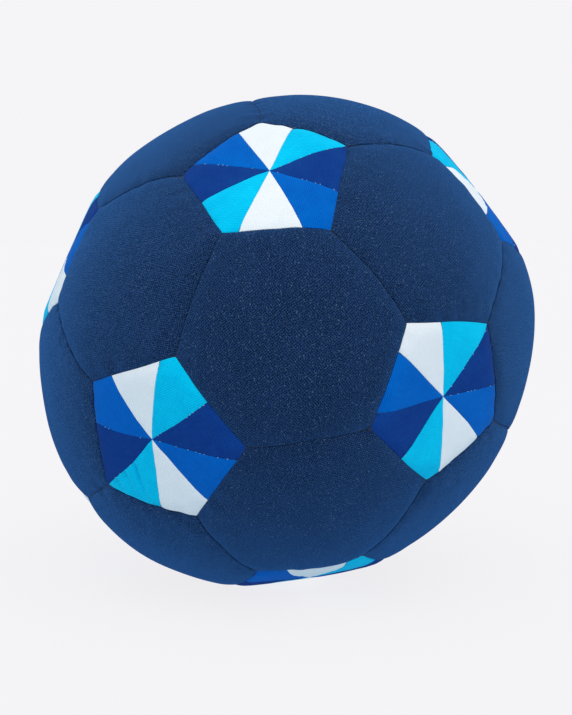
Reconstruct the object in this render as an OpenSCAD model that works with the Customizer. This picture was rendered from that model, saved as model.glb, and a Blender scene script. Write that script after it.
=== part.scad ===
// Soft cloth ball. Twenty canvas hexagons and twelve pentagons, each a pinwheel of eight cotton
// wedges, are sewn into a cover over a core of fibre stuffing.
// The origin is the middle of the small flat that the ball settles on. +Z is up and -Y is the front.

/* [Ball] */
// Diameter over the cover
ball_d = 200; // [160:1:260]
// Depth of the flat that the ball's own weight presses into its underside
settle = 2; // [1:0.1:4]

/* [Cover] */
// Thickness of one layer of cloth
cloth = 0.7; // [0.5:0.05:0.9]
// Gap between neighbouring panels, where the seam thread lies
seam_gap = 0.6; // [0.4:0.05:1]
// Width of cloth turned in behind the edge of a hexagon
hexagon_allowance = 6; // [4:0.5:8]
// Width of cloth turned in behind the edge of a wedge
wedge_allowance = 4; // [3:0.5:5]
// Size of the pinwheels against those of a perfectly regular cover
pinwheel_size = 0.97; // [0.9:0.01:1.05]

/* [Pattern] */
// Lean of the top pinwheel towards the back
lean_back = 16; // [0:0.5:30]
// Lean of the top pinwheel towards the left
lean_left = 8.5; // [0:0.5:30]
// Turn of the pattern about the line through its top and bottom pinwheels
turn = 2; // [-36:1:36]

/* [Thread] */
// Width and depth of the thread in a seam
thread = 0.4; // [0.25:0.05:0.6]
// Depth of the thread below the cloth's outer face
thread_sink = 0.2; // [0.1:0.05:0.4]
// Diameter of the thicker thread that closes the last seam
closing_d = 0.6; // [0.4:0.05:1]
// Number of closing stitches
closing_count = 12; // [6:1:14]
// Distance from one closing stitch to the next
closing_pitch = 2.5; // [2:0.1:2.8]
// Length of one closing stitch across the seam
closing_stitch = 3; // [2:0.1:4]

/* [Hidden] */
RINGS = ["top", "upper", "lower", "bottom"];
COLOURS = ["white", "cyan", "dark_blue", "mid_blue"];
RING_HEXAGONS = 5;
PINWHEELS = 12;
WEDGES = 8;
BOTTOM = PINWHEELS - 1;

function pinwheel_node(k, colour) = str("pinwheel_", k < 9 ? "0" : "", k + 1, "_", colour);

NAVY = "#22456e";
STUFFING = "#eeebe2";
THREAD_NAVY = "#0f2038";
THREAD_BLUE = "#1c4fa0";
SHADES = ["#eef2f8", "#12bfe6", "#1b3f8f", "#1668c4"];

// The colours of one half of a pinwheel, counter-clockwise from its marked seam
WEDGE_ORDER = ["cyan", "white", "mid_blue", "dark_blue"];
// The pentagon corner, counted counter-clockwise, that each pinwheel's marked seam runs to
MARKED_CORNER = [1, 1, 0, 2, 0, 4, 2, 1, 3, 0, 4, 4];

outer_r = ball_d / 2;
fold = 2 * cloth;
core_clearance = 0.2;
core_r = outer_r - fold - core_clearance;
centre_z = outer_r - settle;
reach = 1.4 * outer_r;
wedge_angle = 360 / WEDGES;
// Pinwheel seams stop this far short of the pinwheel's centre, and every seam short of its corners
hub_trim = 0.9;
corner_trim = 0.9;
// Closing stitches lie just clear of the cloth
closing_lift = 0.03;
// The last seam sewn, between two hexagons low on the back
CLOSING_SEAM = [8, 4];

$fn = 120;

// Directions from the ball's centre. The pinwheels sit at the corners of an icosahedron:
// one on top, an upper ring of five, a lower ring of five and one at the bottom.
fifth = 360 / 5;
ring_latitude = atan(0.5);
function is_pole(k) = k == 0 || k == BOTTOM;
function is_upper(k) = k >= 1 && k <= 5;
function longitude(k) = is_pole(k) ? 0 : is_upper(k) ? fifth * (k - 1) : fifth * (k - 5.5);
function colatitude(k) = k == 0 ? 0 : k == BOTTOM ? 180 : 90 + (is_upper(k) ? -1 : 1) * ring_latitude;
function direction(k) =
  let (c = colatitude(k), a = longitude(k)) [sin(c) * cos(a), sin(c) * sin(a), cos(c)];
function unit(v) = v / norm(v);

// The corner where pinwheel a's edge meets the seam that runs on to pinwheel b
corner_share = pinwheel_size / 3;
function corner(a, b) = unit((1 - corner_share) * direction(a) + corner_share * direction(b));
function upper(k) = 1 + (k + 5) % 5;
function lower(k) = 6 + (k + 5) % 5;

// The three pinwheels around hexagon k of a ring, counter-clockwise
function around(ring, k) =
  ring == "top" ? [0, upper(k), upper(k + 1)] :
  ring == "upper" ? [upper(k), lower(k), upper(k + 1)] :
  ring == "lower" ? [lower(k), lower(k + 1), upper(k + 1)] :
  [BOTTOM, lower(k + 1), lower(k)];
function hexagon_corners(p) = [
  for (i = [0 : 2], back = [0, 1])
    let (a = p[i], b = p[(i + 1) % 3]) back == 0 ? corner(a, b) : corner(b, a)
];

// Each pinwheel's own axes: +Z out of the ball, and its pentagon's first corner towards +X
pentagon_spread = acos(direction(0) * corner(0, 1));
function first_corner(k) = is_upper(k) ? fifth / 2 : 0;
function aside(spread, a) = [sin(spread) * cos(a), sin(spread) * sin(a), cos(spread)];
pentagon_corners = [for (i = [0 : 4]) aside(pentagon_spread, fifth * i)];
function seam_angle(k, i) = fifth * MARKED_CORNER[k] + wedge_angle * i;
// Angle at the ball's centre from a pinwheel's middle to its edge, a degrees round from a corner
function edge_spread(a) = atan(tan(pentagon_spread) * cos(fifth / 2) / cos(a % fifth - fifth / 2));

module pattern() {
  rotate([-lean_back, -lean_left, 0]) rotate([0, 0, turn - 90]) children();
}

module pinwheel_axes(k) {
  pattern() rotate([0, colatitude(k), longitude(k)]) rotate([0, 0, first_corner(k)]) children();
}

// A ball of radius r about the centre, with its share of the flat
module ball(r) {
  difference() {
    sphere(r);
    translate([0, 0, settle - r - reach]) cube(2 * reach, center = true);
  }
}

// The layer of the ball from radius r1 out to radius r2
module layer(r1, r2) {
  difference() {
    ball(r2);
    ball(r1);
  }
}

// Everything seen through a many-sided window from the ball's centre, its sides moved in by inset
module window(corners, inset) {
  n = len(corners);
  middle = unit([for (axis = [0 : 2]) [for (c = corners) 1] * [for (c = corners) c[axis]]]);
  side_normal = unit(cross(corners[0], corners[1]));
  points = concat([[0, 0, 0], 1.1 * reach * middle], reach * corners);
  sides = [for (i = [0 : n - 1]) [0, 2 + i, 2 + (i + 1) % n]];
  caps = [for (i = [0 : n - 1]) [1, 2 + (i + 1) % n, 2 + i]];
  translate(inset / (side_normal * middle) * middle) polyhedron(points, concat(sides, caps));
}

// One wedge's share of a pinwheel, its sides moved in by inset
module wedge_window(start, inset) {
  tip = inset / sin(wedge_angle / 2);
  intersection() {
    window(pentagon_corners, inset);
    rotate([0, 0, start + wedge_angle / 2])
      translate([tip, 0, 0])
        rotate([0, 0, -wedge_angle / 2])
          linear_extrude(reach)
            polygon([[0, 0], [reach, 0], reach * [cos(wedge_angle), sin(wedge_angle)]]);
  }
}

// A cloth piece: one layer over its whole face and a second where its edge is turned in.
// The first child is the piece's outline, and the second is what lies inside the turned edge.
module cloth_piece() {
  difference() {
    intersection() {
      layer(outer_r - fold, outer_r);
      children(0);
    }
    intersection() {
      ball(outer_r - cloth);
      children(1);
    }
  }
}

module hexagon(ring, k) {
  corners = hexagon_corners(around(ring, k));
  cloth_piece() {
    pattern() window(corners, seam_gap / 2);
    pattern() window(corners, seam_gap / 2 + hexagon_allowance);
  }
}

module wedge(k, i) {
  cloth_piece() {
    pinwheel_axes(k) wedge_window(seam_angle(k, i), seam_gap / 2);
    pinwheel_axes(k) wedge_window(seam_angle(k, i), seam_gap / 2 + wedge_allowance);
  }
}

// The angle at the ball's centre that spans a length on its surface
function span(length) = length / outer_r * 180 / PI;

// Axes for the great circle that starts along direction u and runs through direction v
module seam_axes(u, v) {
  n = unit(cross(u, v));
  w = cross(n, u);
  multmatrix([[u.x, w.x, n.x, 0], [u.y, w.y, n.y, 0], [u.z, w.z, n.z, 0], [0, 0, 0, 1]]) children();
}

// A strip along the seam from direction u to direction v, deeper than the thread at both faces
module seam_run(u, v, trim_start, trim_end) {
  start = span(trim_start);
  end = acos(u * v) - span(trim_end);
  inner = 0.9 * outer_r;
  outer = 1.1 * outer_r;
  seam_axes(u, v)
    linear_extrude(thread, center = true)
      polygon([
        inner * [cos(start), sin(start)],
        outer * [cos(start), sin(start)],
        outer * [cos(end), sin(end)],
        inner * [cos(end), sin(end)],
      ]);
}

module in_seam_groove() {
  intersection() {
    layer(outer_r - thread_sink - thread, outer_r - thread_sink);
    children();
  }
}

module hexagons(ring) {
  color(NAVY)
    translate([0, 0, centre_z])
      for (k = [0 : RING_HEXAGONS - 1]) hexagon(ring, k);
}

module pinwheel(k, colour) {
  color(SHADES[search([colour], COLOURS)[0]])
    translate([0, 0, centre_z])
      for (i = [0 : WEDGES - 1])
        if (WEDGE_ORDER[i % 4] == colour) wedge(k, i);
}

module stuffing_core() {
  color(STUFFING) translate([0, 0, centre_z]) ball(core_r);
}

module panel_seam_thread() {
  color(THREAD_NAVY)
    translate([0, 0, centre_z]) {
      for (ring = RINGS, k = [0 : RING_HEXAGONS - 1]) {
        corners = hexagon_corners(around(ring, k));
        // Corners 2i + 1 and 2i + 2 are the ends of an edge that the hexagon shares with a pinwheel
        for (i = [0 : 2]) {
          u = corners[2 * i + 1];
          v = corners[(2 * i + 2) % 6];
          in_seam_groove() pattern() seam_run(u, v, corner_trim, corner_trim);
        }
      }
      // The other seams each join two hexagons, on the line between neighbouring pinwheels
      neighbour = 64;
      for (a = [0 : BOTTOM], b = [0 : BOTTOM])
        if (a < b && acos(direction(a) * direction(b)) < neighbour)
          in_seam_groove() pattern() seam_run(corner(a, b), corner(b, a), corner_trim, corner_trim);
    }
}

module pinwheel_seam_thread() {
  color(THREAD_BLUE)
    translate([0, 0, centre_z])
      for (k = [0 : PINWHEELS - 1], i = [0 : WEDGES - 1]) {
        a = seam_angle(k, i);
        s = edge_spread(a);
        in_seam_groove() pinwheel_axes(k) seam_run([0, 0, 1], aside(s, a), hub_trim, corner_trim);
      }
}

module closing_stitches() {
  u = corner(CLOSING_SEAM[0], CLOSING_SEAM[1]);
  v = corner(CLOSING_SEAM[1], CLOSING_SEAM[0]);
  middle = acos(u * v) / 2;
  color(THREAD_NAVY)
    translate([0, 0, centre_z])
      pattern()
        seam_axes(u, v)
          for (i = [0 : closing_count - 1])
            rotate([0, 0, middle + (i - (closing_count - 1) / 2) * span(closing_pitch)])
              translate([outer_r + closing_d / 2 + closing_lift, 0, 0])
                cylinder(h = closing_stitch, d = closing_d, center = true, $fn = 24);
}

stuffing_core();
panel_seam_thread();
pinwheel_seam_thread();
closing_stitches();
for (ring = RINGS)
  hexagons(ring);
for (k = [0 : PINWHEELS - 1], colour = COLOURS)
  pinwheel(k, colour);
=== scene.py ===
"""A soft cloth ball: navy canvas hexagons and pinwheel pentagons sewn over a core of fibre stuffing.

Lengths are in metres and angles in degrees. The ball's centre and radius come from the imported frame.
The cover is simulated once as a closed, stuffed skin. Every cloth piece is then cut from that skin as
a sheet with its edges folded under, and the threads are laid along the seams between the pieces.
"""

import math

import bmesh
import bpy
import numpy as np
from mathutils import Matrix, Vector
from mathutils.bvhtree import BVHTree
from mathutils.geometry import delaunay_2d_cdt


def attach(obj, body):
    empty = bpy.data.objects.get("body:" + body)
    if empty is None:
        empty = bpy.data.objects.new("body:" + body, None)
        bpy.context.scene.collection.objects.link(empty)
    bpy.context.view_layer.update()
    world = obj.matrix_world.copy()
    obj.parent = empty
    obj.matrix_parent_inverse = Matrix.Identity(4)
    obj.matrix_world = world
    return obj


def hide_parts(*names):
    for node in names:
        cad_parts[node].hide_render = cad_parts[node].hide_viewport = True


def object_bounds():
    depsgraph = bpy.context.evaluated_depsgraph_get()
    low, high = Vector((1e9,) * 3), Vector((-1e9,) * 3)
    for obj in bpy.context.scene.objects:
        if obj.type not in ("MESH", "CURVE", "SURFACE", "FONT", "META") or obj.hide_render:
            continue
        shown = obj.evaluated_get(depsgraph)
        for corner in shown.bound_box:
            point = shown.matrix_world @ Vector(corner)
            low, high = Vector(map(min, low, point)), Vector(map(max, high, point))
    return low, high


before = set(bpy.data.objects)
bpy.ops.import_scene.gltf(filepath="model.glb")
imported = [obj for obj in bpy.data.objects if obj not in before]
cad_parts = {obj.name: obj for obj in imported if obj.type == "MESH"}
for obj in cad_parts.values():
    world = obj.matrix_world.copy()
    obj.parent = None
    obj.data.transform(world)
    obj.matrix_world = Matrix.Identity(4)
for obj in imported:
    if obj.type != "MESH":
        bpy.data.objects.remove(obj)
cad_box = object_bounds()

# ---------------------------------------------------------------- sizes

MM = 0.001
BALL_R = (cad_box[1].x - cad_box[0].x) / 2
CENTRE = np.array([0, 0, cad_box[1].z - BALL_R])

# The pattern's lean and turn, as in the CAD part
LEAN_BACK = 16
LEAN_LEFT = 8.5
TURN = 2
FIFTH = 72
RING_LATITUDE = math.degrees(math.atan(0.5))
PINWHEELS = 12
BOTTOM = PINWHEELS - 1
WEDGES = 8
WEDGE_ANGLE = 360 / WEDGES
RINGS = ["top", "upper", "lower", "bottom"]
RING_HEXAGONS = 5
WEDGE_ORDER = ["cyan", "white", "mid_blue", "dark_blue"]
MARKED_CORNER = [1, 1, 0, 2, 0, 4, 2, 1, 3, 0, 4, 4]
CLOSING_SEAM = (8, 4)

# Size of each hand-sewn pinwheel against those of a perfectly regular cover
PINWHEEL_SIZE = [0.98, 0.96, 1.02, 0.99, 0.97, 0.98, 0.97, 0.98, 1.0, 0.97, 0.98, 1.0]
# How far hand sewing has carried a pinwheel, its middle or one corner, to the right and up from the front
PINWHEEL_SHIFT = {1: (0.7, 0.4), 10: (0, -0.6), 6: (0.7, 0.5), 11: (-3.5, 0), 4: (0.8, -0.5), 8: (-1, 0.6)}
MIDDLE_SHIFT = {1: (0.4, 1.4), 10: (-2.0, 0.5), 6: (0.8, -0.3)}
CORNER_SHIFT = {
    (1, 0): (1.2, -3.0), (1, 10): (0.3, 3.0), (1, 6): (-0.4, -2.6), (1, 2): (-1.2, 0.8),
    (6, 11): (2.4, -0.8), (6, 10): (1.6, -1.8), (10, 11): (-1.0, 1.0), (10, 9): (0, -1.5),
}

# Shape of the stuffed ball: its long axis leans up and to the right as seen from the front
LONG_AXIS = 45
LONG_AXIS_STRETCH = 0.022
PINWHEEL_FLATNESS = 0.4
FLAT_SPREAD = 18
# Bulges and hollows: angle round the front outline from +X, degrees towards the front, width, height
LUMPS = [
    (15, 10, 16, 1.6 * MM),
    (64, 5, 16, 1.2 * MM),
    (212, 10, 18, 1.4 * MM),
    (245, 8, 16, 1.2 * MM),
    (312, 8, 26, -1.2 * MM),
    (100, -50, 24, 1.2 * MM),
    (200, -40, 26, -1.0 * MM),
    (20, -45, 22, 1.3 * MM),
]
UNEVENNESS = 0.45 * MM
UNEVEN_LENGTH = 55 * MM
FLOOR_SOFTNESS = 1.0 * MM

# Cloth thickness, half of the gap in a seam, the cloth turned in, and steps along an edge and across
CANVAS = {"cloth": 0.45 * MM, "gap": 0.07 * MM, "allowance": 6 * MM, "edge": 0.8 * MM, "grid": 1.15 * MM}
COTTON = {"cloth": 0.16 * MM, "gap": 0.01 * MM, "allowance": 3 * MM, "edge": 0.7 * MM, "grid": 0.9 * MM}
HIDDEN_GRID = 4 * MM
SLACK = 0.05 * MM
SHOULDERS = [1.6 * MM, 0.9 * MM, 0.35 * MM, 0]
FOLD_ANGLES = [30, 60, 90, 120, 150]

# How far a seam pulls the cover down, over what width, and how much the cloth puckers beside it
PANEL_SEAM = {"depth": 0.5 * MM, "width": 2.2 * MM, "pucker": 0.16 * MM, "reach": 4.5 * MM}
WEDGE_SEAM = {"depth": 0.16 * MM, "width": 1.2 * MM, "pucker": 0.09 * MM, "reach": 3.0 * MM}
PUCKER_LENGTH = 6 * MM
PUCKER_CUTOFF = 4
STITCH_PITCH = 2.4 * MM
SEAM_WANDER = 0.4 * MM
WANDER_LENGTH = 30 * MM


def unit(v):
    v = np.asarray(v, float)
    return v / np.linalg.norm(v, axis=-1, keepdims=True)


# ---------------------------------------------------------------- pattern

def turned(axis, degrees):
    return np.array(Matrix.Rotation(math.radians(degrees), 3, axis))


PATTERN = turned("Y", -LEAN_LEFT) @ turned("X", -LEAN_BACK) @ turned("Z", TURN - 90)


def is_upper(k):
    return 1 <= k <= 5


def pinwheel_axes(k):
    """Columns: a pinwheel's own X, towards its first corner, its Y, and its Z, out of the ball."""
    if k in (0, BOTTOM):
        longitude, colatitude = 0, 0 if k == 0 else 180
    elif is_upper(k):
        longitude, colatitude = FIFTH * (k - 1), 90 - RING_LATITUDE
    else:
        longitude, colatitude = FIFTH * (k - 5.5), 90 + RING_LATITUDE
    first_corner = FIFTH / 2 if is_upper(k) else 0
    return PATTERN @ turned("Z", longitude) @ turned("Y", colatitude) @ turned("Z", first_corner)


AXES = [pinwheel_axes(k) for k in range(PINWHEELS)]
DIRECTION = [axes[:, 2] for axes in AXES]


def shifted(direction, *moves):
    """A direction carried along the ball by shifts in millimetres, to the right and up from the front."""
    right, up = np.sum(moves, 0) * MM / BALL_R
    return unit(direction + [right, 0, up])


def corner(a, b):
    """The corner of pinwheel a that points to pinwheel b."""
    share = PINWHEEL_SIZE[a] / 3
    regular = unit((1 - share) * DIRECTION[a] + share * DIRECTION[b])
    return shifted(regular, PINWHEEL_SHIFT.get(a, (0, 0)), CORNER_SHIFT.get((a, b), (0, 0)))


def middle(k):
    """Where the wedges of pinwheel k meet."""
    return shifted(DIRECTION[k], PINWHEEL_SHIFT.get(k, (0, 0)), MIDDLE_SHIFT.get(k, (0, 0)))


def neighbours(k):
    """The five pinwheels nearest to pinwheel k, in the order of its corners."""
    near = [j for j in range(PINWHEELS) if j != k and DIRECTION[j] @ DIRECTION[k] > 0.4]
    x, y = AXES[k][:, 0], AXES[k][:, 1]
    angle = {j: math.degrees(math.atan2(DIRECTION[j] @ y, DIRECTION[j] @ x)) for j in near}
    return sorted(near, key=lambda j: round(angle[j] / FIFTH) % 5)


def around(ring, k):
    """The three pinwheels around a hexagon, counter-clockwise."""
    upper, next_upper = 1 + k % 5, 1 + (k + 1) % 5
    lower, next_lower = 6 + k % 5, 6 + (k + 1) % 5
    return {
        "top": (0, upper, next_upper),
        "upper": (upper, lower, next_upper),
        "lower": (lower, next_lower, next_upper),
        "bottom": (BOTTOM, next_lower, lower),
    }[ring]


def hexagon_corners(ring, k):
    p = around(ring, k)
    pairs = [(p[i], p[(i + 1) % 3]) for i in range(3)]
    return np.array([c for a, b in pairs for c in (corner(a, b), corner(b, a))])


def pinwheel_corners(k):
    return np.array([corner(k, j) for j in neighbours(k)])


def seam_end(k, angle):
    """Where a wedge seam of pinwheel k, at an angle round it, meets the pinwheel's edge."""
    corners = pinwheel_corners(k)
    side, past = divmod(angle, FIFTH)
    half = math.radians(FIFTH / 2)
    share = 0.5 + math.tan(math.radians(past) - half) / (2 * math.tan(half))
    start, end = corners[int(side) % 5], corners[int(side + 1) % 5]
    return unit(start + (end - start) * share)


def wedge_corners(k, i):
    """Wedge i of pinwheel k, counter-clockwise from the pinwheel's middle."""
    start = FIFTH * MARKED_CORNER[k] + WEDGE_ANGLE * i
    end = start + WEDGE_ANGLE
    corners = pinwheel_corners(k)
    between = range(math.floor(start / FIFTH + 0.01) + 1, math.ceil(end / FIFTH - 0.01))
    return np.array([middle(k), seam_end(k, start), *[corners[n % 5] for n in between], seam_end(k, end)])


# ---------------------------------------------------------------- noise

def ripples(points, length, seed, waves=20):
    """A smooth uneven height, mostly between -1 and 1, at each point in metres."""
    rng = np.random.default_rng(seed)
    headings = unit(rng.normal(size=(waves, 3)))
    frequency = 2 * math.pi / (length * rng.uniform(0.7, 1.6, waves))
    phase = rng.uniform(0, 2 * math.pi, waves)
    return np.sin(points @ (headings * frequency[:, None]).T + phase).sum(1) / math.sqrt(waves)


# ---------------------------------------------------------------- the stuffed skin

SIM_STEPS = 12
SIM_FRAMES = 20
EDGE_ROUNDNESS = 0.7
HEXAGON_ROUNDNESS = 0.95
PINWHEEL_ROUNDNESS = 0.6
# Share of the simulated relief that is kept: the full relief looks too puffy
SKIN_RELIEF = 0.6
SEAM_TOLERANCE = 0.001
FLAT_SOFTNESS = 0.5 * MM

SKIN_CLOTH = {
    "quality": 6,
    "mass": 0.3,
    "tension_stiffness": 15,
    "compression_stiffness": 15,
    "shear_stiffness": 5,
    "bending_stiffness": 0.5,
    "vertex_group_structural_stiffness": "pinwheels",
    "tension_stiffness_max": 60,
    "compression_stiffness_max": 60,
    "tension_damping": 5,
    "compression_damping": 5,
    "shear_damping": 5,
    "air_damping": 2,
    "use_pressure": True,
    "uniform_pressure_force": 20,
    "vertex_group_shrink": "seams",
    "shrink_max": 0.012,
}


def fan(corners, roundness):
    """A panel's starting net: fan triangles from its middle, between a flat face and the ball."""
    centre = corners.mean(0)
    points, faces = [], []
    for a, b in zip(corners, np.roll(corners, -1, 0)):
        index = {}
        for u in range(SIM_STEPS + 1):
            for v in range(SIM_STEPS + 1 - u):
                q = centre + (a - centre) * u / SIM_STEPS + (b - centre) * v / SIM_STEPS
                inner = min(1, 2 * (1 - (u + v) / SIM_STEPS))
                share = EDGE_ROUNDNESS + (roundness - EDGE_ROUNDNESS) * inner
                index[u, v] = len(points)
                points.append((q * (1 - share) + unit(q) * share) * BALL_R)
        for u in range(SIM_STEPS):
            for v in range(SIM_STEPS - u):
                faces.append((index[u, v], index[u + 1, v], index[u, v + 1]))
                if u + v < SIM_STEPS - 1:
                    faces.append((index[u + 1, v], index[u + 1, v + 1], index[u, v + 1]))
    return np.array(points), faces


def near_seam(directions, outlines):
    """Which directions lie on a panel's side."""
    found = np.zeros(len(directions), bool)
    for corners in outlines:
        for a, b in zip(corners, np.roll(corners, -1, 0)):
            close = np.abs(directions @ unit(np.cross(a, b))) < SEAM_TOLERANCE
            found |= close & (directions @ unit(a + b) > a @ unit(a + b) - SEAM_TOLERANCE)
    return found


def simulated_skin():
    """The whole cover as one closed skin, blown up by its stuffing while its seams draw in."""
    hexagons = [hexagon_corners(ring, k) for ring in RINGS for k in range(RING_HEXAGONS)]
    pinwheels = [pinwheel_corners(k) for k in range(PINWHEELS)]
    panels = [(c, HEXAGON_ROUNDNESS) for c in hexagons] + [(c, PINWHEEL_ROUNDNESS) for c in pinwheels]
    net = bmesh.new()
    for corners, roundness in panels:
        points, faces = fan(corners, roundness)
        made = [net.verts.new(p) for p in points]
        for face in faces:
            net.faces.new([made[i] for i in face])
    bmesh.ops.remove_doubles(net, verts=net.verts, dist=0.01 * MM)
    mesh = bpy.data.meshes.new("skin")
    net.to_mesh(mesh)
    net.free()
    skin = bpy.data.objects.new("skin", mesh)
    bpy.context.scene.collection.objects.link(skin)

    directions = unit([v.co for v in mesh.vertices])
    seams = skin.vertex_groups.new(name="seams")
    seams.add([int(i) for i in np.flatnonzero(near_seam(directions, hexagons + pinwheels))], 1, "REPLACE")
    stiff = skin.vertex_groups.new(name="pinwheels")
    inside = (directions @ np.array(DIRECTION).T).max(1) > math.cos(math.radians(FLAT_SPREAD))
    stiff.add([int(i) for i in np.flatnonzero(inside)], 1, "REPLACE")

    cloth = skin.modifiers.new("stuffed", "CLOTH")
    for setting, value in SKIN_CLOTH.items():
        setattr(cloth.settings, setting, value)
    cloth.settings.effector_weights.gravity = 0
    cloth.point_cache.frame_start = 1
    cloth.point_cache.frame_end = SIM_FRAMES
    for step in range(1, SIM_FRAMES + 1):
        bpy.context.scene.frame_set(step)
    smooth = skin.modifiers.new("smooth", "SUBSURF")
    smooth.levels = 1
    settled = skin.evaluated_get(bpy.context.evaluated_depsgraph_get()).to_mesh()
    tree = BVHTree.FromPolygons([v.co for v in settled.vertices], [p.vertices for p in settled.polygons])
    radius = np.mean([v.co.length for v in settled.vertices])
    bpy.data.objects.remove(skin)
    bpy.context.scene.frame_set(1)
    return tree, radius


SKIN = simulated_skin()


def skin_radius(directions):
    """The simulated skin's radius along each direction, scaled to the ball."""
    if SKIN is None:
        return np.full(len(directions), BALL_R)
    tree, radius = SKIN
    origin = Vector((0, 0, 0))
    cast = np.array([tree.ray_cast(origin, Vector(d))[3] for d in directions])
    return BALL_R * (1 + SKIN_RELIEF * (cast / radius - 1))


def lumps(directions):
    """Unevenness of the stuffing: the long axis, flat pinwheels, listed lumps and small ripples."""
    a = math.radians(LONG_AXIS)
    along = directions @ [math.cos(a), 0, math.sin(a)]
    across = directions @ [-math.sin(a), 0, math.cos(a)]
    height = BALL_R * LONG_AXIS_STRETCH * (along ** 2 - across ** 2)
    edge = math.cos(math.radians(FLAT_SPREAD))
    for k in range(PINWHEELS):
        cosine = np.clip(directions @ middle(k), 0.5, 1)
        sunk = BALL_R * (1 - edge / cosine)
        height -= PINWHEEL_FLATNESS * (sunk + np.sqrt(sunk ** 2 + FLAT_SOFTNESS ** 2)) / 2
    for angle, forward, width, rise in LUMPS:
        a, f = math.radians(angle), math.radians(forward)
        top = [math.cos(a) * math.cos(f), -math.sin(f), math.sin(a) * math.cos(f)]
        away = np.degrees(np.arccos(np.clip(directions @ top, -1, 1)))
        height += rise * np.exp(-((away / width) ** 2))
    return height + UNEVENNESS * ripples(directions * BALL_R, UNEVEN_LENGTH, 3)


def body_radius(directions):
    return skin_radius(directions) + lumps(directions)


def place(directions, radius, depth):
    """Points at a depth under the skin, with the seams' small wander, pressed flat where the ball rests."""
    start = directions * BALL_R
    wander = np.stack([ripples(start, WANDER_LENGTH, seed) for seed in (11, 12, 13)], 1)
    bent = unit(directions + wander * SEAM_WANDER / BALL_R)
    outer = CENTRE + bent * radius[:, None]
    height = outer[:, 2]
    pressed = (height + np.sqrt(height ** 2 + FLOOR_SOFTNESS ** 2)) / 2
    points = outer - bent * np.asarray(depth)[..., None]
    points[:, 2] += pressed - height
    return points


# ---------------------------------------------------------------- seams

def seam_dip(directions, sides, kinds):
    """How far the seams along a panel's sides pull the skin down at each direction."""
    dip = np.zeros(len(directions))
    for normal, kind in zip(sides, kinds):
        offset = directions @ normal
        away = np.abs(np.arcsin(np.clip(offset, -1, 1))) * BALL_R
        dip += kind["depth"] * np.exp(-away / kind["width"])
        close = away < PUCKER_CUTOFF * kind["reach"]
        foot = unit(directions[close] - np.outer(offset[close], normal)) * BALL_R
        fade = np.exp(-away[close] / kind["reach"])
        dip[close] += kind["pucker"] * fade * ripples(foot, PUCKER_LENGTH, 7)
    return dip


# ---------------------------------------------------------------- cloth pieces

def inset(outline, distance):
    """A convex outline's corners with every side moved in by a distance."""
    ahead = unit(np.roll(outline, -1, 0) - outline)
    inward = np.stack([-ahead[:, 1], ahead[:, 0]], 1)
    before = np.roll(inward, 1, 0)
    share = 1 + (inward * before).sum(1)
    return outline + distance * (inward + before) / share[:, None]


def ring_points(outline, counts):
    """Points round an outline, with counts[i] steps along side i."""
    following = np.roll(outline, -1, 0)
    sides = [a + (b - a) * np.arange(n)[:, None] / n for a, b, n in zip(outline, following, counts)]
    return np.concatenate(sides)


def filling(outline, edge, spacing):
    """A triangular grid inside an outline, and the triangles that join it to the ring of edge points."""
    ahead = unit(np.roll(outline, -1, 0) - outline)
    inward = np.stack([-ahead[:, 1], ahead[:, 0]], 1)
    low, high = outline.min(0), outline.max(0)
    rows = np.arange(low[1], high[1], spacing * math.sqrt(3) / 2)
    columns = np.arange(low[0], high[0], spacing)
    grid = np.array([(x + (n % 2) * spacing / 2, y) for n, y in enumerate(rows) for x in columns])
    clear = ((grid[:, None] - outline[None]) * inward[None]).sum(2).min(1) > 0.6 * spacing
    inner = grid[clear]
    points = np.concatenate([edge, inner]) / MM
    loop = [(i, (i + 1) % len(edge)) for i in range(len(edge))]
    _, _, faces, origins, _, _ = delaunay_2d_cdt([Vector(p) for p in points], loop, [], 1, 1e-6)
    triangles = np.array([[origins[i][0] for i in face] for face in faces])
    a, b, c = (points[triangles[:, i]] for i in range(3))
    area = (b[:, 0] - a[:, 0]) * (c[:, 1] - a[:, 1]) - (b[:, 1] - a[:, 1]) * (c[:, 0] - a[:, 0])
    triangles[area < 0] = triangles[area < 0][:, ::-1]
    return inner, triangles


def polygon_area(outline):
    x, y = outline.T
    return abs(x @ np.roll(y, -1) - y @ np.roll(x, -1)) / 2


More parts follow.
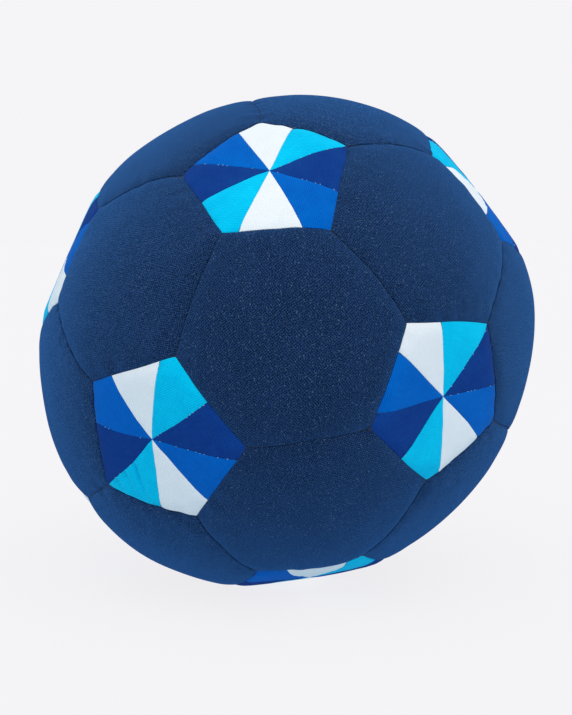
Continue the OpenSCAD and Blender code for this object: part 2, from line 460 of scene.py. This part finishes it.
def cloth_mesh(name, axes, corners, kinds, stuff, grain, creases=()):
    """One cut piece of cloth with its edges folded under, as a closed mesh, and its flat size and area."""
    local = corners @ axes
    outline = local[:, :2] / local[:, 2:] * BALL_R
    stretch = 1 + 0.5 * (np.linalg.norm(outline, axis=1).max() / BALL_R) ** 2
    cloth, gap, allowance = stuff["cloth"], stuff["gap"], stuff["allowance"]
    fold = cloth + SLACK / 2
    lay = gap + fold
    section = [(lay + s, 0) for s in SHOULDERS]
    for angle in FOLD_ANGLES:
        a = math.radians(angle)
        section.append((lay - fold * math.sin(a), fold * (1 - math.cos(a))))
    section += [(lay, 2 * fold), (allowance / 2, 2 * fold), (allowance, 2 * fold)]
    flap_top = 2 * fold - cloth
    section += [(allowance, flap_top), (allowance / 2, flap_top), (lay, flap_top)]
    section += [(gap + cloth, fold), (lay, cloth), (lay + SHOULDERS[0], cloth)]

    length = np.linalg.norm(np.roll(outline, -1, 0) - outline, axis=1)
    counts = np.maximum(3, np.round(length / stuff["edge"]).astype(int))
    rings = [ring_points(inset(outline, d * stretch), counts) for d, _ in section]
    around_count = len(rings[0])
    face_outline = inset(outline, section[0][0] * stretch)
    top, top_faces = filling(face_outline, rings[0], stuff["grid"])
    under, under_faces = filling(inset(outline, section[-1][0] * stretch), rings[-1], HIDDEN_GRID)

    flat = np.concatenate([*rings, top, under])
    depth = np.concatenate([np.full(around_count, h) for _, h in section] + [
        np.zeros(len(top)), np.full(len(under), cloth)])
    directions = unit(np.column_stack([flat, np.full(len(flat), BALL_R)]) @ axes.T)
    sides = unit(np.cross(corners, np.roll(corners, -1, 0)))
    radius = body_radius(directions) - seam_dip(directions, sides, kinds)
    for start, end, deep, wide in creases:
        radius -= crease(flat, outline, start, end, deep, wide)
    points = place(directions, radius, depth)

    last = (len(rings) - 1) * around_count
    top_start = len(rings) * around_count
    under_start = top_start + len(top)
    here = np.arange(around_count)
    ahead = (here + 1) % around_count
    quads = [
        np.column_stack([r + here, r + around_count + here, r + around_count + ahead, r + ahead])
        for r in range(0, last, around_count)
    ]
    top_faces = np.where(top_faces < around_count, top_faces, top_faces - around_count + top_start)
    under_faces = np.where(
        under_faces < around_count, under_faces + last, under_faces - around_count + under_start)
    faces = [*np.concatenate(quads).tolist(), *top_faces.tolist(), *under_faces[:, ::-1].tolist()]

    a = math.radians(grain)
    to_grain = [[math.cos(a), -math.sin(a)], [math.sin(a), math.cos(a)]]
    along = flat @ to_grain
    size = np.ptp(inset(outline, -allowance) @ to_grain, axis=0)
    area = 2 * polygon_area(outline) - polygon_area(inset(outline, allowance))
    obj = solid(name, points, faces, np.column_stack([along, np.full(len(flat), sum(corners[0]))]))
    return obj, [float(x) for x in size], area


# The shares of its length over which a fold deepens and dies away
CREASE_START = 0.12
CREASE_END = 0.45


def crease(flat, outline, start, end, deep, wide):
    """A soft fold across a wedge, from a share of its first seam to a share of the line across its end."""
    a = outline[0] + start * (outline[1] - outline[0])
    b = outline[1] + end * (outline[-1] - outline[1])
    run = b - a
    share = (flat - a) @ run / (run @ run)
    side = np.abs((flat - a) @ [-run[1], run[0]]) / np.linalg.norm(run)
    fade = np.clip(share / CREASE_START, 0, 1) * np.clip((1 - share) / CREASE_END, 0, 1)
    return deep * fade * np.exp(-((side / wide) ** 2))


def solid(name, points, faces, cloth_coordinates):
    """A smooth-shaded mesh object that rides on the ball, with its cloth coordinates for the weave."""
    mesh = bpy.data.meshes.new(name)
    mesh.from_pydata(points.tolist(), [], faces)
    mesh.shade_smooth()
    attribute = mesh.attributes.new("cloth", "FLOAT_VECTOR", "POINT")
    attribute.data.foreach_set("vector", np.asarray(cloth_coordinates, np.float32).ravel())
    obj = bpy.data.objects.new(name, mesh)
    bpy.context.scene.collection.objects.link(obj)
    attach(obj, "root")
    return obj


# ---------------------------------------------------------------- threads

THREAD_END = 0.45
THREAD_RISE = 0.09 * MM
KNOT_SIDES = 10
KNOT_STEPS = 6


def tube(path, thick, sides=6):
    """Points, faces and cloth coordinates of a round thread along a path, closed at both ends."""
    path = np.asarray(path)
    ahead = unit(np.gradient(path, axis=0))
    out = unit(path - CENTRE)
    across = unit(np.cross(ahead, out))
    lift = np.cross(across, ahead)
    turn = np.arange(sides) * 2 * math.pi / sides
    thick = np.broadcast_to(thick, len(path))
    ends = np.ones(len(path))
    ends[[0, -1]] = THREAD_END
    spoke = across[:, None] * np.cos(turn)[:, None] + lift[:, None] * np.sin(turn)[:, None]
    points = (path[:, None] + spoke * (thick * ends / 2)[:, None, None]).reshape(-1, 3)
    faces = []
    for r in range(len(path) - 1):
        for s in range(sides):
            a, b = r * sides + s, r * sides + (s + 1) % sides
            faces.append((a, b, b + sides, a + sides))
    last = (len(path) - 1) * sides
    faces.append(tuple(range(sides))[::-1])
    faces.append(tuple(last + s for s in range(sides)))
    run = np.concatenate([[0], np.cumsum(np.linalg.norm(np.diff(path, axis=0), axis=1))])
    coordinates = np.column_stack([
        np.repeat(run, sides), np.tile(turn, len(path)) * MM, np.zeros(len(points))])
    return points, faces, coordinates


def knot(direction, radius, wide, high):
    """A small flattened knot of thread, where seams meet."""
    sides, steps = KNOT_SIDES, KNOT_STEPS
    x = unit(np.cross(direction, [0.31, 0.52, 0.79]))
    y = np.cross(direction, x)
    points = []
    for s in range(1, steps):
        tilt = math.pi * s / steps
        for t in range(sides):
            turn = 2 * math.pi * (t + 0.4 * s) / sides
            bulge = 1 + 0.12 * math.sin(3 * turn + 5 * tilt)
            flat = wide / 2 * bulge * math.sin(tilt) * (x * math.cos(turn) + y * math.sin(turn))
            points.append(direction * radius + flat + direction * high / 2 * math.cos(tilt))
    top = len(points)
    points += [direction * (radius + high / 2), direction * (radius - high / 2)]
    faces = []
    for s in range(steps - 2):
        for t in range(sides):
            a, b = s * sides + t, s * sides + (t + 1) % sides
            faces.append((a, a + sides, b + sides, b))
    last = (steps - 2) * sides
    for t in range(sides):
        faces.append((top, t, (t + 1) % sides))
        faces.append((top + 1, last + (t + 1) % sides, last + t))
    coordinates = np.array([(math.atan2(p @ y, p @ x) * MM, p @ direction, 0) for p in points])
    return np.array(points), faces, coordinates


def joined(name, parts):
    """Several closed pieces as one object."""
    points, faces, coordinates, start = [], [], [], 0
    for p, f, c in parts:
        points.append(p)
        coordinates.append(c)
        faces += [tuple(start + i for i in face) for face in f]
        start += len(p)
    return solid(name, np.concatenate(points), faces, np.concatenate(coordinates))


def arc(start, end, step):
    """Directions from start to end along the shortest way, about a step apart on the ball."""
    angle = math.acos(start @ end)
    side = unit(end - start * (start @ end))
    t = np.linspace(0, angle, max(3, round(angle * BALL_R / step)))
    return np.outer(np.cos(t), start) + np.outer(np.sin(t), side)


def seam_thread(start, end, kind, deep, thick):
    """The row of stitches in a seam: a thread that rises into sight and sinks once a stitch."""
    directions = arc(start, end, STITCH_PITCH / 5)
    side = unit(np.cross(start, end))
    run = np.arccos(np.clip(directions @ start, -1, 1)) * BALL_R
    weave = THREAD_RISE * np.sin(2 * math.pi * run / STITCH_PITCH)
    radius = body_radius(directions) - seam_dip(directions, [side], [kind])
    return tube(place(directions, radius, deep + weave), thick)


# ---------------------------------------------------------------- materials

def shade(red, green, blue):
    """A colour given as 0 to 255 on the screen, as the shader's linear values."""
    screen = [c / 255 for c in (red, green, blue)]
    return (*[c / 12.92 if c <= 0.04045 else ((c + 0.055) / 1.055) ** 2.4 for c in screen], 1)


class Graph:
    """A material and short ways to add nodes to it."""

    def __init__(self, name, roughness, sheen=0.0, sheen_tint=(1, 1, 1, 1), specular=0.0):
        self.material = bpy.data.materials.new(name)
        self.material.use_nodes = True
        self.tree = self.material.node_tree
        self.shader = self.tree.nodes["Principled BSDF"]
        self.shader.inputs["Roughness"].default_value = roughness
        self.shader.inputs["Specular IOR Level"].default_value = specular
        self.shader.inputs["Sheen Weight"].default_value = sheen
        self.shader.inputs["Sheen Roughness"].default_value = 0.5
        self.shader.inputs["Sheen Tint"].default_value = sheen_tint

    def add(self, kind, inputs, output=0, **settings):
        node = self.tree.nodes.new(kind)
        for key, value in settings.items():
            setattr(node, key, value)
        for key, value in inputs.items():
            self.feed(value, node.inputs[key])
        return node.outputs[output]

    def feed(self, value, socket):
        if isinstance(value, bpy.types.NodeSocket):
            self.tree.links.new(value, socket)
        else:
            socket.default_value = value

    def math(self, operation, a, b=0.0, c=0.0):
        return self.add("ShaderNodeMath", {0: a, 1: b, 2: c}, operation=operation)

    def mix(self, share, a, b, blend="MIX"):
        inputs = {0: share, 6: a, 7: b}
        return self.add("ShaderNodeMix", inputs, 2, data_type="RGBA", blend_type=blend)

    def noise(self, vector, scale, detail=2.0, roughness=0.5):
        inputs = {"Vector": vector, "Scale": scale, "Detail": detail, "Roughness": roughness}
        return self.add("ShaderNodeTexNoise", inputs)

    def scaled(self, vector, x, y, z=1.0):
        return self.add("ShaderNodeMapping", {"Vector": vector, "Scale": (x, y, z)})

    def cloth(self):
        return self.add("ShaderNodeAttribute", {}, 1, attribute_name="cloth")

    def bump(self, height, distance, strength=1.0):
        inputs = {"Height": height, "Distance": distance, "Strength": strength}
        self.feed(self.add("ShaderNodeBump", inputs), self.shader.inputs["Normal"])

    def colour(self, value):
        self.feed(value, self.shader.inputs["Base Color"])
        return self.material


# Half the repeat of each weave, the repeat of the cotton's diagonal lines and of a thread's twist
CANVAS_PITCH = 0.57 * MM
COTTON_PITCH = 0.38 * MM
TWILL_PITCH = 1.15 * MM
THREAD_TWIST = 0.45 * MM
# Depth of each material's relief
CANVAS_RELIEF = 0.07 * MM
COTTON_RELIEF = 0.12 * MM
THREAD_RELIEF = 0.04 * MM
FIBRE_RELIEF = 0.6 * MM
# How unevenly the threads run: scale of the bend per metre, its size, and a thread's stretched noise
BEND_SCALE = 90.0
BEND_SIZE = 0.8 * MM
YARN_STRETCH = 0.06
# The canvas's coarse and fine grain, against its pitch, and its pale flecks per metre and how rare
COARSE_GRAIN = 1.35
FINE_GRAIN = 2.7
FLECK_SCALE = 1700
FLECK_LIMIT = 0.75


def woven(graph, pitch):
    """A plain weave: which thread is on top (-1 weft to 1 warp), and the two threads' own unevenness."""
    cloth = graph.cloth()
    bend = graph.scaled(graph.noise(cloth, BEND_SCALE, 1.0), BEND_SIZE, BEND_SIZE, 0)
    shifted = graph.add("ShaderNodeVectorMath", {0: cloth, 1: bend}, operation="ADD")
    parts = graph.add("ShaderNodeSeparateXYZ", {"Vector": shifted})
    across = graph.math("SINE", graph.math("MULTIPLY", parts, math.pi / pitch))
    along = graph.math("SINE", graph.math("MULTIPLY", parts.node.outputs["Y"], math.pi / pitch))
    over = graph.math("MULTIPLY", across, along)
    warp = graph.noise(graph.scaled(shifted, 1 / pitch, YARN_STRETCH / pitch, 40), 1.0, 2.0)
    weft = graph.noise(graph.scaled(shifted, YARN_STRETCH / pitch, 1 / pitch, 40), 1.0, 2.0)
    return cloth, shifted, over, warp, weft


def canvas(name):
    """Navy canvas: dark threads with fine paler grain and specks, and a sheen at grazing angles."""
    graph = Graph(name, 0.9, 0.62, shade(88, 164, 255))
    cloth, shifted, over, warp, weft = woven(graph, CANVAS_PITCH)
    coarse, fine = COARSE_GRAIN / CANVAS_PITCH, FINE_GRAIN / CANVAS_PITCH
    grain = graph.noise(graph.scaled(shifted, coarse, coarse, 50), 1.0, 1.0)
    fine = graph.noise(graph.scaled(shifted, fine, fine, 90), 1.0, 1.0)
    check = graph.math("MULTIPLY_ADD", over, -0.7, -3.75)
    speck = graph.math("MULTIPLY_ADD", grain, 4.6, graph.math("MULTIPLY_ADD", fine, 3.3, check))
    pale = graph.math("ADD", speck, graph.math("MULTIPLY_ADD", weft, 0.5, -0.15))
    pale.node.use_clamp = True
    base = graph.mix(pale, graph.mix(warp, shade(1, 5, 18), shade(4, 12, 32)), shade(49, 76, 121))
    flecks = graph.noise(graph.scaled(shifted, FLECK_SCALE, FLECK_SCALE, 60), 1.0, 0.0)
    fleck = graph.math("GREATER_THAN", flecks, FLECK_LIMIT)
    specked = graph.mix(graph.math("MULTIPLY", fleck, 0.5), base, shade(110, 132, 158))
    broad = graph.noise(cloth, 60.0, 3.0)
    worn = graph.mix(0.25, specked, graph.mix(broad, shade(2, 8, 22), shade(34, 60, 100)))
    height = graph.math("MULTIPLY_ADD", graph.math("ABSOLUTE", over), 0.5, speck)
    graph.bump(height, CANVAS_RELIEF, 0.8)
    return graph.colour(worn)


def cotton(name, dark, light, sheen=0.04):
    """Printed cotton: a fine weave with diagonal twill lines and a soft change of shade."""
    graph = Graph(name, 0.9, sheen)
    cloth, shifted, over, warp, weft = woven(graph, COTTON_PITCH)
    parts = graph.add("ShaderNodeSeparateXYZ", {"Vector": shifted})
    diagonal = graph.math("ADD", parts, parts.node.outputs["Y"])
    twill = graph.math("SINE", graph.math("MULTIPLY", diagonal, 2 * math.pi / TWILL_PITCH))
    threads = graph.math("ADD", graph.math("MULTIPLY", warp, 0.5), graph.math("MULTIPLY", weft, 0.5))
    tone = graph.math("MULTIPLY_ADD", twill, 0.16, threads)
    broad = graph.noise(cloth, 70.0, 2.0)
    share = graph.math("MULTIPLY_ADD", broad, 0.6, graph.math("MULTIPLY_ADD", tone, 1.2, -0.35))
    share.node.use_clamp = True
    height = graph.math("MULTIPLY_ADD", graph.math("ABSOLUTE", over), 0.5, graph.math("MULTIPLY", tone, 0.9))
    graph.bump(height, COTTON_RELIEF, 0.8)
    return graph.colour(graph.mix(share, dark, light))


def thread_material(name, dark, light):
    """Twisted sewing thread."""
    graph = Graph(name, 0.6, 0.2, (1, 1, 1, 1), 0.3)
    cloth = graph.cloth()
    parts = graph.add("ShaderNodeSeparateXYZ", {"Vector": cloth})
    turn = graph.math("MULTIPLY", parts.node.outputs["Y"], 2 / MM)
    twist = graph.math("SINE", graph.math("MULTIPLY_ADD", parts, 2 * math.pi / THREAD_TWIST, turn))
    share = graph.math("MULTIPLY_ADD", twist, 0.4, 0.5)
    graph.bump(twist, THREAD_RELIEF, 0.8)
    return graph.colour(graph.mix(share, dark, light))


def fibre_material(name):
    """Loose white polyester fibre, packed into a ball."""
    graph = Graph(name, 0.9, 0.3, (1, 1, 1, 1), 0.1)
    place_in = graph.add("ShaderNodeTexCoord", {}, 3)
    strands = graph.noise(graph.scaled(place_in, 1, 1, 0.25), 900.0, 5.0, 0.7)
    graph.bump(strands, FIBRE_RELIEF, 0.7)
    return graph.colour(graph.mix(strands, shade(206, 202, 190), shade(244, 242, 236)))


# The room and the floor as the camera sees them, and the softer light that they give the ball
BACKDROP = (0.913, 0.905, 0.93, 1)
ROOM_LIGHT = (0.63, 0.77, 0.88, 1)
FLOOR_GLOW = (0.828, 0.821, 0.843, 1)
FLOOR_BOUNCE = (0.42, 0.56, 0.68, 1)


def floor_material(name):
    """The plain pale sweep the ball stands on, with a little light of its own so that shadows stay faint."""
    graph = Graph(name, 1.0)
    place_in = graph.add("ShaderNodeTexCoord", {}, 3)
    grain = graph.noise(place_in, 6.0, 2.0)
    seen = graph.add("ShaderNodeLightPath", {})
    graph.feed(graph.mix(seen, FLOOR_BOUNCE, FLOOR_GLOW), graph.shader.inputs["Emission Color"])
    graph.shader.inputs["Emission Strength"].default_value = 1.0
    return graph.colour(graph.mix(grain, (0.089, 0.082, 0.079, 1), (0.091, 0.084, 0.081, 1)))


MATERIALS = {
    "navy_canvas": canvas("navy canvas"),
    "white_cotton": cotton("white cotton", shade(236, 239, 240), shade(248, 249, 250), 0.0),
    "cyan_cotton": cotton("cyan cotton", shade(0, 168, 220), shade(4, 218, 252)),
    "dark_blue_cotton": cotton("dark blue cotton", shade(8, 43, 115), shade(22, 72, 149)),
    "mid_blue_cotton": cotton("mid blue cotton", shade(0, 81, 172), shade(4, 112, 206)),
    "navy_thread": thread_material("navy thread", shade(6, 14, 30), shade(16, 32, 60)),
    "blue_thread": thread_material("blue thread", shade(4, 26, 84), shade(14, 52, 128)),
    "pale_thread": thread_material("pale thread", shade(110, 175, 225), shade(190, 225, 245)),
    "fibre_stuffing": fibre_material("fibre stuffing"),
}


def finish_piece(obj, slot, nodes, material=None):
    """Gives a piece its material and slot, and hides the CAD nodes it stands for."""
    obj.data.materials.append(MATERIALS[material or slot])
    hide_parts(*nodes)


# ---------------------------------------------------------------- the pieces

# Depth of the stuffing under the skin, and how far its tufts may rise above that
STUFFING_DEPTH = 2.5 * MM
TUFT_RISE = 0.5 * MM


def make_stuffing():
    """The ball of fibre that the cover is stretched over, lumpy where the fibre bunches."""
    net = bmesh.new()
    bmesh.ops.create_icosphere(net, subdivisions=6, radius=1)
    directions = unit([v.co for v in net.verts])
    start = directions * BALL_R
    tufts = 0.35 * MM * ripples(start, 16 * MM, 21) + 0.15 * MM * ripples(start, 5 * MM, 22)
    depth = STUFFING_DEPTH + np.clip(tufts, -TUFT_RISE, 1)
    points = place(directions, body_radius(directions), depth)
    faces = [[v.index for v in f.verts] for f in net.faces]
    net.free()
    obj = solid("stuffing", points, faces, points)
    finish_piece(obj, "fibre_stuffing", ["stuffing_core"])
    return obj


def make_hexagons():
    rng = np.random.default_rng(5)
    for ring_name in RINGS:
        node = f"hexagons_{ring_name}"
        for k in range(RING_HEXAGONS):
            corners = hexagon_corners(ring_name, k)
            z = unit(corners.sum(0))
            x = unit(corners[0] - z * (corners[0] @ z))
            axes = np.column_stack([x, np.cross(z, x), z])
            grain = rng.uniform(-20, 20)
            obj, size, area = cloth_mesh(
                f"hexagon_{ring_name}_{k + 1}", axes, corners, [PANEL_SEAM] * 6, CANVAS, grain)
            finish_piece(obj, "navy_canvas", [node])


CREASED_GRID = 0.45 * MM
# Soft folds across a wedge: pinwheel, wedge, and for each fold where it starts and ends, its depth and width
CREASES = {
    (10, 0): [
        (0.42, 0.78, 1.6 * MM, 0.8 * MM),
        (0.61, 0.55, 1.4 * MM, 0.75 * MM),
        (0.80, 0.34, 1.0 * MM, 0.65 * MM),
    ],
    (7, 3): [(0.5, 0.6, 0.35 * MM, 1.1 * MM)],
    (3, 6): [(0.62, 0.45, 0.3 * MM, 1.0 * MM)],
}


def make_pinwheels():
    rng = np.random.default_rng(8)
    for k in range(PINWHEELS):
        for i in range(WEDGES):
            colour = WEDGE_ORDER[i % 4]
            half = "a" if i < 4 else "b"
            corners = wedge_corners(k, i)
            kinds = [WEDGE_SEAM] + [PANEL_SEAM] * (len(corners) - 2) + [WEDGE_SEAM]
            grain = FIFTH * MARKED_CORNER[k] + WEDGE_ANGLE * (i + 0.5) + rng.uniform(-12, 12)
            node = f"pinwheel_{k + 1:02d}_{colour}"
            creases = CREASES.get((k, i), ())
            stuff = {**COTTON, "grid": CREASED_GRID} if creases else COTTON
            obj, size, area = cloth_mesh(f"{node}_{half}", AXES[k], corners, kinds, stuff, grain, creases)
            finish_piece(obj, f"{colour}_cotton", [node])


PANEL_THREAD = 0.34 * MM
PANEL_THREAD_DEPTH = 0.5 * MM
WEDGE_THREAD = 0.2 * MM
WEDGE_THREAD_DEPTH = 0.38 * MM
# A knot's width, height and depth under the skin
PANEL_KNOT = (1.5 * MM, 0.7 * MM, 1.35 * MM)
WEDGE_KNOT = (1.5 * MM, 0.5 * MM, 1.0 * MM)


def make_panel_thread():
    """The thread in the seams round the hexagons, with a knot where three seams meet."""
    parts = []
    for a in range(PINWHEELS):
        corners = pinwheel_corners(a)
        for u, v in zip(corners, np.roll(corners, -1, 0)):
            parts.append(seam_thread(u, v, PANEL_SEAM, PANEL_THREAD_DEPTH, PANEL_THREAD))
        for b in neighbours(a):
            if a < b:
                start, end = corner(a, b), corner(b, a)
                parts.append(seam_thread(start, end, PANEL_SEAM, PANEL_THREAD_DEPTH, PANEL_THREAD))
        for u in corners:
            parts.append(resting_knot(u, *PANEL_KNOT))
    obj = joined("panel_thread", parts)
    finish_piece(obj, "navy_thread", ["panel_seam_thread"])


def resting_knot(direction, wide, high, depth):
    """A knot sunk to a depth under the skin."""
    spot = direction[None]
    where = place(spot, body_radius(spot), np.array([depth]))[0] - CENTRE
    points, faces, coordinates = knot(unit(where), np.linalg.norm(where), wide, high)
    return points + CENTRE, faces, coordinates


def make_wedge_thread():
    """The thread in the seams between wedges, with a knot at each pinwheel's middle."""
    parts = []
    for k in range(PINWHEELS):
        for i in range(WEDGES):
            end = seam_end(k, FIFTH * MARKED_CORNER[k] + WEDGE_ANGLE * i)
            parts.append(seam_thread(middle(k), end, WEDGE_SEAM, WEDGE_THREAD_DEPTH, WEDGE_THREAD))
        parts.append(resting_knot(middle(k), *WEDGE_KNOT))
    obj = joined("wedge_thread", parts)
    finish_piece(obj, "blue_thread", ["pinwheel_seam_thread"])


PALE_SEAMS = [0, 3, 4, 7]
PALE_PITCH = 1.6 * MM
PALE_LENGTH = 0.75 * MM
PALE_THICK = 0.22 * MM
# How far each stitch stands out at its middle, and how far below that its ends dip
PALE_LIFT = 0.04 * MM
PALE_DIP = 0.25 * MM


def make_pale_stitches():
    """Ends of pale thread that show here and there in the seams on each side of the dark wedges."""
    rng = np.random.default_rng(6)
    parts = []
    for k in range(PINWHEELS):
        for i in PALE_SEAMS:
            start, end = middle(k), seam_end(k, FIFTH * MARKED_CORNER[k] + WEDGE_ANGLE * i)
            side = unit(np.cross(start, end))
            share = rng.uniform(0.05, 0.5)
            for spot in arc(start, end, PALE_PITCH)[2:-1]:
                shown = rng.uniform() < share
                lean, shift = rng.uniform(-0.5, 0.5), rng.uniform(-0.1, 0.1) * MM
                if not shown:
                    continue
                ahead = unit(np.cross(side, spot) + lean * side)
                run = np.linspace(-0.5, 0.5, 5) * PALE_LENGTH
                directions = unit(spot * BALL_R + side * shift + np.outer(run, ahead))
                radius = body_radius(directions) - seam_dip(directions, [side], [WEDGE_SEAM])
                depth = 2 * np.abs(run) / PALE_LENGTH * PALE_DIP - PALE_LIFT
                parts.append(tube(place(directions, radius, depth), PALE_THICK, 5))
    obj = joined("pale_thread", parts)
    finish_piece(obj, "blue_thread", ["pinwheel_seam_thread"], "pale_thread")


CLOSING_COUNT = 12
CLOSING_PITCH = 2.5 * MM
CLOSING_LENGTH = 3 * MM
CLOSING_THICK = 0.48 * MM
CLOSING_LIFT = 0.12 * MM
CLOSING_DIP = 0.75 * MM
CLOSING_STEPS = 13


def make_closing_stitches():
    """The hand stitches that close the last seam, each dipping into the cloth at its ends."""
    u, v = corner(*CLOSING_SEAM), corner(*CLOSING_SEAM[::-1])
    halfway = unit(u + v)
    ahead = unit(v - u)
    side = np.cross(halfway, ahead)
    rng = np.random.default_rng(4)
    parts = []
    for i in range(CLOSING_COUNT):
        shift = (i - (CLOSING_COUNT - 1) / 2) * CLOSING_PITCH + rng.uniform(-0.15, 0.15) * MM
        lean = rng.uniform(-0.35, 0.35)
        across = np.linspace(-0.5, 0.5, CLOSING_STEPS)
        flat = halfway * BALL_R + np.outer(np.full(CLOSING_STEPS, shift) + lean * across * MM, ahead)
        directions = unit(flat + np.outer(across * CLOSING_LENGTH, side))
        radius = body_radius(directions) - seam_dip(directions, [unit(np.cross(u, v))], [PANEL_SEAM])
        sink = CLOSING_DIP * (2 * across) ** 6 - CLOSING_LIFT
        parts.append(tube(place(directions, radius, sink), CLOSING_THICK, 8))
    obj = joined("closing_thread", parts)
    finish_piece(obj, "navy_thread", ["closing_stitches"])


# ---------------------------------------------------------------- floor, light and camera

FLOOR_SIDES = 96
FLOOR_RINGS = [0.4, 1.0, 2.5, 6.0, 14.0, 30.0]
FLOOR_DISH = 0.0004


def make_floor():
    """A wide round floor, dished up very slightly at its rim."""
    net = bmesh.new()
    sides = FLOOR_SIDES
    rings = []
    for r in FLOOR_RINGS:
        turn = [2 * math.pi * i / sides for i in range(sides)]
        rings.append([net.verts.new((r * math.cos(t), r * math.sin(t), FLOOR_DISH * r * r)) for t in turn])
    centre = net.verts.new((0, 0, 0))
    for i in range(sides):
        net.faces.new((centre, rings[0][i], rings[0][(i + 1) % sides]))
        for inner, outer in zip(rings, rings[1:]):
            net.faces.new((inner[i], outer[i], outer[(i + 1) % sides], inner[(i + 1) % sides]))
    mesh = bpy.data.meshes.new("floor")
    net.to_mesh(mesh)
    net.free()
    floor = bpy.data.objects.new("floor", mesh)
    bpy.context.scene.collection.objects.link(floor)
    floor.data.materials.append(floor_material("floor"))


KEY_STRENGTH = 1.35
KEY_COLOUR = (1.0, 0.82, 0.7)
KEY_FROM = (0.15, -0.65, 0.9)
KEY_SPREAD = 60


def make_light():
    """A bright even room, and one broad soft lamp above the front, a little to the right."""
    world = bpy.data.worlds.new("studio")
    world.use_nodes = True
    tree = world.node_tree
    seen = tree.nodes.new("ShaderNodeLightPath")
    tint = tree.nodes.new("ShaderNodeMix")
    tint.data_type = "RGBA"
    tint.inputs[6].default_value = ROOM_LIGHT
    tint.inputs[7].default_value = BACKDROP
    tree.links.new(seen.outputs["Is Camera Ray"], tint.inputs[0])
    tree.links.new(tint.outputs[2], tree.nodes["Background"].inputs["Color"])
    bpy.context.scene.world = world
    lamp = bpy.data.lights.new("key", "SUN")
    lamp.energy = KEY_STRENGTH
    lamp.angle = math.radians(KEY_SPREAD)
    lamp.color = KEY_COLOUR
    key = bpy.data.objects.new("key", lamp)
    bpy.context.scene.collection.objects.link(key)
    key.rotation_euler = Vector(KEY_FROM).to_track_quat("Z", "Y").to_euler()


VIEW_ELEVATION = 4
VIEW_DISTANCE = 0.531
LENS = 64.5
AIM_BELOW = 6.04 * MM
AIM_RIGHT = 0.66 * MM


def make_camera():
    camera = bpy.data.cameras.new("camera")
    camera.lens = LENS
    view = bpy.data.objects.new("camera", camera)
    bpy.context.scene.collection.objects.link(view)
    e = math.radians(VIEW_ELEVATION)
    view.location = Vector(CENTRE) + VIEW_DISTANCE * Vector((0, -math.cos(e), math.sin(e)))
    aim = Vector(CENTRE) + Vector((AIM_RIGHT, 0, -AIM_BELOW))
    view.rotation_euler = (aim - view.location).to_track_quat("-Z", "Y").to_euler()
    bpy.context.scene.camera = view


make_stuffing()
make_hexagons()
make_pinwheels()
make_panel_thread()
make_wedge_thread()
make_pale_stitches()
make_closing_stitches()
make_floor()
make_light()
make_camera()
bpy.context.scene.view_settings.view_transform = "Standard"

bpy.context.view_layer.update()
